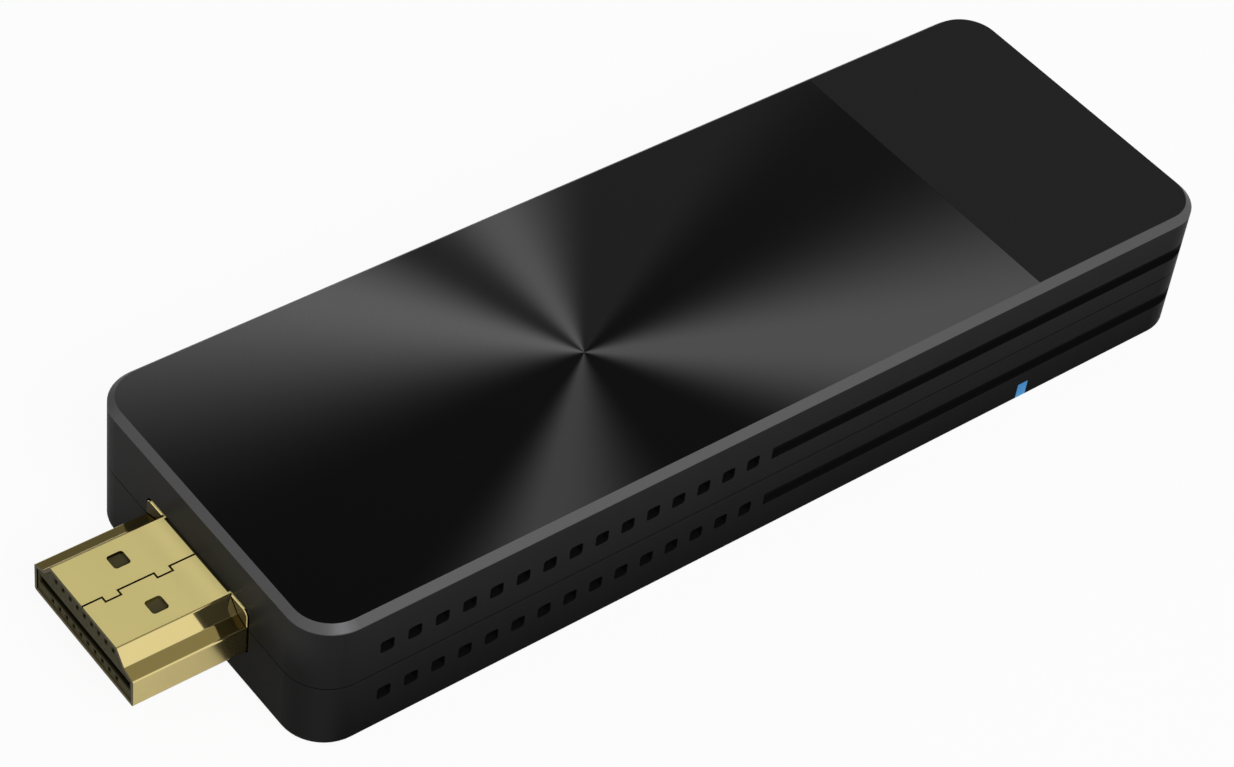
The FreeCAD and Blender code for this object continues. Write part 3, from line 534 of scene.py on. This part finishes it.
MOULDINGS = (
    # name, low and high colour, roughness, noise scale, specular level; CAD nodes
    (("tongue_resin", grey(0.020), grey(0.028), 0.50, 3000.0, 0.2),
     ("inlet_insulator",)),
    (("chip_resin", (0.020, 0.020, 0.022), (0.030, 0.030, 0.032), 0.55, 3500.0, 0.4),
     ("processor", "memory_chips", "flash_chip", "wireless_chip", "regulator_chips")),
    (("heat_pad", (0.26, 0.31, 0.38), (0.32, 0.37, 0.44), 0.80, 1500.0, 0.2),
     ("chip_thermal_pad", "lid_thermal_pad")),
    (("ferrite", (0.06, 0.06, 0.065), (0.10, 0.10, 0.105), 0.60, 2600.0, 0.4),
     ("power_inductors",)),
    (("resistor_film", (0.018, 0.018, 0.020), (0.03, 0.03, 0.033), 0.45, 4000.0, 0.4),
     ("chip_resistors",)),
    (("coax_jacket", (0.022, 0.022, 0.024), (0.032, 0.032, 0.034), 0.50, 2500.0, 0.4),
     ("coax_lead_near", "coax_lead_far")),
    (("antenna_film", (0.22, 0.12, 0.045), (0.28, 0.16, 0.06), 0.40, 2000.0, 0.4),
     ("antenna_near", "antenna_far")),
    (("light_chip", (0.70, 0.69, 0.58), (0.78, 0.77, 0.68), 0.40, 3000.0, 0.4),
     ("status_led",)),
    (("button_plastic", (0.010, 0.010, 0.011), (0.015, 0.015, 0.016), 0.44, 4200.0, 0.1),
     ("reset_button", "switch_plunger")),
)

dress(casing_plastic(), "upper_shell", "lower_shell")
dress(spun_plate(), "top_plate")
dress(label_matte(), "label_film")
dress(blue_light(), "light_pipe")
dress(gold_plate(), "plug_shell")
dress(gold_contacts(), "plug_contacts_narrow", "plug_contacts_wide", "inlet_contacts",
      "coax_sockets", "coax_plugs")
dress(insulator_plastic(), "plug_insulator")
dress(board_mask(), "main_board", "wireless_board")
dress(capacitor_body(), "ceramic_capacitors")
for look, names in METALS:
    dress(sheet_metal(*look), *names)
for look, names in MOULDINGS:
    dress(moulded(*look), *names)


# Floor, light and camera

def linked(name, data):
    """A new object in the scene."""
    made = bpy.data.objects.new(name, data)
    bpy.context.scene.collection.objects.link(made)
    return made


def make_floor():
    """Pale paper. The background is white, and the object's shadow stays on it.

    It lies a little under the object, so that its face and the underside don't mix.
    """
    corners = [(x * FLOOR_HALF, y * FLOOR_HALF, -FLOOR_DROP)
               for x, y in ((-1, -1), (1, -1), (1, 1), (-1, 1))]
    data = bpy.data.meshes.new("floor")
    data.from_pydata(corners, [], [(0, 1, 2, 3)])
    floor = linked("floor", data)

    s = Shader("floor_paper")
    diffuse = s.node("ShaderNodeBsdfDiffuse")
    s.put(diffuse.inputs["Color"], s.mix(s.noise(60.0, 2.0), grey(0.66), grey(0.68)))
    white = s.node("ShaderNodeEmission")
    s.put(white.inputs["Strength"], 1.0)
    path = s.node("ShaderNodeLightPath").outputs
    mirrored = s.plus(path["Is Glossy Ray"], path["Is Transmission Ray"], clamp=True)
    seen = s.times(path["Is Camera Ray"], FLOOR_WHITE_SEEN)
    seen = s.plus(seen, s.times(mirrored, FLOOR_WHITE_IN_GLOSS), clamp=True)
    both = s.node("ShaderNodeMixShader")
    for socket, value in zip(both.inputs, (seen, diffuse.outputs[0], white.outputs[0])):
        s.put(socket, value)
    s.surface(both.outputs[0])
    floor.data.materials.append(s.material)


def make_world():
    """Soft studio, white to the eye.

    In gloss it has a window side, a darker far side and a dim ceiling.
    """
    world = bpy.data.worlds.new("studio")
    bpy.context.scene.world = world
    world.use_nodes = True
    w = Nodes(world.node_tree)
    out = w.node("ShaderNodeOutputWorld")
    back = w.node("ShaderNodeBackground")
    w.put(back.inputs["Color"], rgba(grey(1.0)))
    _, y, z = w.split(w.node("ShaderNodeTexCoord").outputs["Generated"])
    path = w.node("ShaderNodeLightPath").outputs
    sides = w.choose(w.ramp(y, *FAR_SIDE), WINDOW_LEVEL, FAR_LEVEL)
    mirrored = w.choose(w.ramp(z, *CEILING), sides, CEILING_LEVEL)
    soft = w.ramp(y, *SOFT_ACROSS, *SOFT_LEVELS)
    light = w.choose(path["Is Diffuse Ray"], mirrored, soft)
    w.put(back.inputs["Strength"], w.choose(path["Is Camera Ray"], light, 1.0))
    w.put(out.inputs["Surface"], back.outputs[0])


def make_lamp():
    data = bpy.data.lights.new("key_light", "AREA")
    data.shape = "DISK"
    data.size = LAMP_SIZE
    data.energy = LAMP_POWER
    lamp = linked("key_light", data)
    lamp.location = LAMP_PLACE
    lamp.rotation_mode = "QUATERNION"
    lamp.rotation_quaternion = (-Vector(LAMP_PLACE)).to_track_quat("-Z", "Y")


def make_camera():
    data = bpy.data.cameras.new("camera")
    data.sensor_fit = "HORIZONTAL"
    data.sensor_width = SENSOR
    data.lens = LENS
    data.clip_start, data.clip_end = CLIP
    camera = linked("camera", data)
    camera.location = CAMERA_PLACE
    camera.rotation_euler = Euler([math.radians(angle) for angle in CAMERA_TURN], "XYZ")
    bpy.context.scene.camera = camera


make_floor()
make_world()
make_lamp()
make_camera()
bpy.context.scene.view_settings.view_transform = "Standard"
